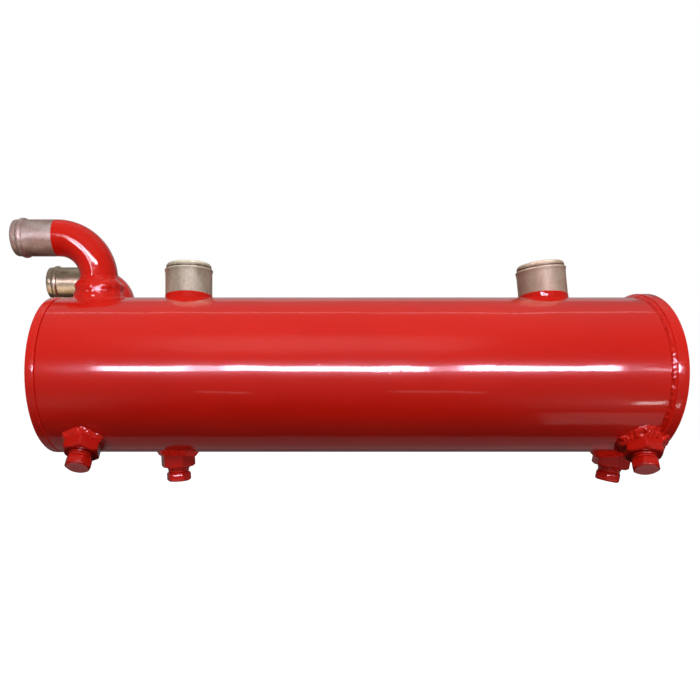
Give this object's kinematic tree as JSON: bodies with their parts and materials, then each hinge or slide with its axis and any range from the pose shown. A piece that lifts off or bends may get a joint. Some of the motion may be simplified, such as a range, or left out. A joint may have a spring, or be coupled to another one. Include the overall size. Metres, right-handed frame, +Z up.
{
  "type": "hydraulic oil cooler",
  "caption": "Horizontal shell-and-tube oil cooler: red drum with beaded oil tails on top, two bent water pipes at one end and hexagon drain plugs below.",
  "frame": {"origin": "centre of the inlet end cap's outer flat face, on the drum's axis", "axes": "+X along the drum to the return end, +Z up through the oil tails, -Y to the front"},
  "size_m": [0.6841, 0.2032, 0.291],
  "materials": {
    "red_paint": "gloss",
    "copper_nickel": "satin",
    "tube_copper": "satin",
    "machined_steel": "machined"
  },
  "bodies": {
    "cooler": {"shell_tube": "red_paint", "inlet_end_cap": "red_paint", "return_end_cap": "red_paint", "water_elbow_front": "red_paint", "water_elbow_rear": "red_paint", "water_tail_front": "copper_nickel", "water_tail_rear": "copper_nickel", "oil_inlet_tail": "copper_nickel", "oil_outlet_tail": "copper_nickel", "inlet_header_plug_boss": "red_paint", "shell_drain_plug_boss": "red_paint", "return_header_plug_boss": "red_paint", "return_drain_plug_boss": "red_paint", "inlet_tube_sheet": "machined_steel", "return_tube_sheet": "machined_steel", "pass_partition": "machined_steel", "baffle_1": "machined_steel", "baffle_2": "machined_steel", "baffle_3": "machined_steel", "baffle_4": "machined_steel", "baffle_5": "machined_steel", "tie_rod_1": "machined_steel", "tie_rod_2": "machined_steel", "tie_rod_3": "machined_steel", "tie_rod_4": "machined_steel", "cooling_tube_01": "tube_copper", "cooling_tube_02": "tube_copper", "cooling_tube_03": "tube_copper", "cooling_tube_04": "tube_copper", "cooling_tube_05": "tube_copper", "cooling_tube_06": "tube_copper", "cooling_tube_07": "tube_copper", "cooling_tube_08": "tube_copper", "cooling_tube_09": "tube_copper", "cooling_tube_10": "tube_copper", "cooling_tube_11": "tube_copper", "cooling_tube_12": "tube_copper", "cooling_tube_13": "tube_copper", "cooling_tube_14": "tube_copper", "cooling_tube_15": "tube_copper", "cooling_tube_16": "tube_copper", "cooling_tube_17": "tube_copper", "cooling_tube_18": "tube_copper"},
    "inlet_header_seal": {"inlet_header_plug_seal": "red_paint"},
    "inlet_header_plug": {"inlet_header_plug": "red_paint"},
    "shell_drain_seal": {"shell_drain_plug_seal": "red_paint"},
    "shell_drain_plug": {"shell_drain_plug": "red_paint"},
    "return_header_seal": {"return_header_plug_seal": "red_paint"},
    "return_header_plug": {"return_header_plug": "red_paint"},
    "return_drain_seal": {"return_drain_plug_seal": "red_paint"},
    "return_drain_plug": {"return_drain_plug": "red_paint"}
  },
  "joints": [
    {"name": "inlet_header_plug_travel", "type": "slide", "parent": "cooler", "child": "inlet_header_seal", "axis": [-0.0262, -0.5662, -0.8238], "range_m": [0, 0.012]},
    {"name": "inlet_header_plug_turn", "type": "hinge", "parent": "inlet_header_seal", "child": "inlet_header_plug", "pos_m": [0.04454, -0.05763, -0.08385], "axis": [-0.0262, -0.5662, -0.8238], "range_deg": [0, 3232]},
    {"name": "shell_drain_plug_travel", "type": "slide", "parent": "cooler", "child": "shell_drain_seal", "axis": [0.0523, 0, -0.9986], "range_m": [0, 0.012]},
    {"name": "shell_drain_plug_turn", "type": "hinge", "parent": "shell_drain_seal", "child": "shell_drain_plug", "pos_m": [0.13199, 0, -0.10302], "axis": [0.0523, 0, -0.9986], "range_deg": [0, 3232]},
    {"name": "return_header_plug_travel", "type": "slide", "parent": "cooler", "child": "return_header_seal", "axis": [-0.1305, -0.5472, -0.8268], "range_m": [0, 0.012]},
    {"name": "return_header_plug_turn", "type": "hinge", "parent": "return_header_seal", "child": "return_header_plug", "pos_m": [0.61201, -0.0569, -0.08596], "axis": [-0.1305, -0.5472, -0.8268], "range_deg": [0, 3232]},
    {"name": "return_drain_plug_travel", "type": "slide", "parent": "cooler", "child": "return_drain_seal", "axis": [-0.1908, 0.0343, -0.981], "range_m": [0, 0.012]},
    {"name": "return_drain_plug_turn", "type": "hinge", "parent": "return_drain_seal", "child": "return_drain_plug", "pos_m": [0.60667, 0.00363, -0.10382], "axis": [-0.1908, 0.0343, -0.981], "range_deg": [0, 3232]}
  ],
  "couplings": [
    {"joint": "inlet_header_plug_turn", "follows": "inlet_header_plug_travel", "rad_per_m": 4699.5},
    {"joint": "shell_drain_plug_turn", "follows": "shell_drain_plug_travel", "rad_per_m": 4699.5},
    {"joint": "return_header_plug_turn", "follows": "return_header_plug_travel", "rad_per_m": 4699.5},
    {"joint": "return_drain_plug_turn", "follows": "return_drain_plug_travel", "rad_per_m": 4699.5}
  ]
}
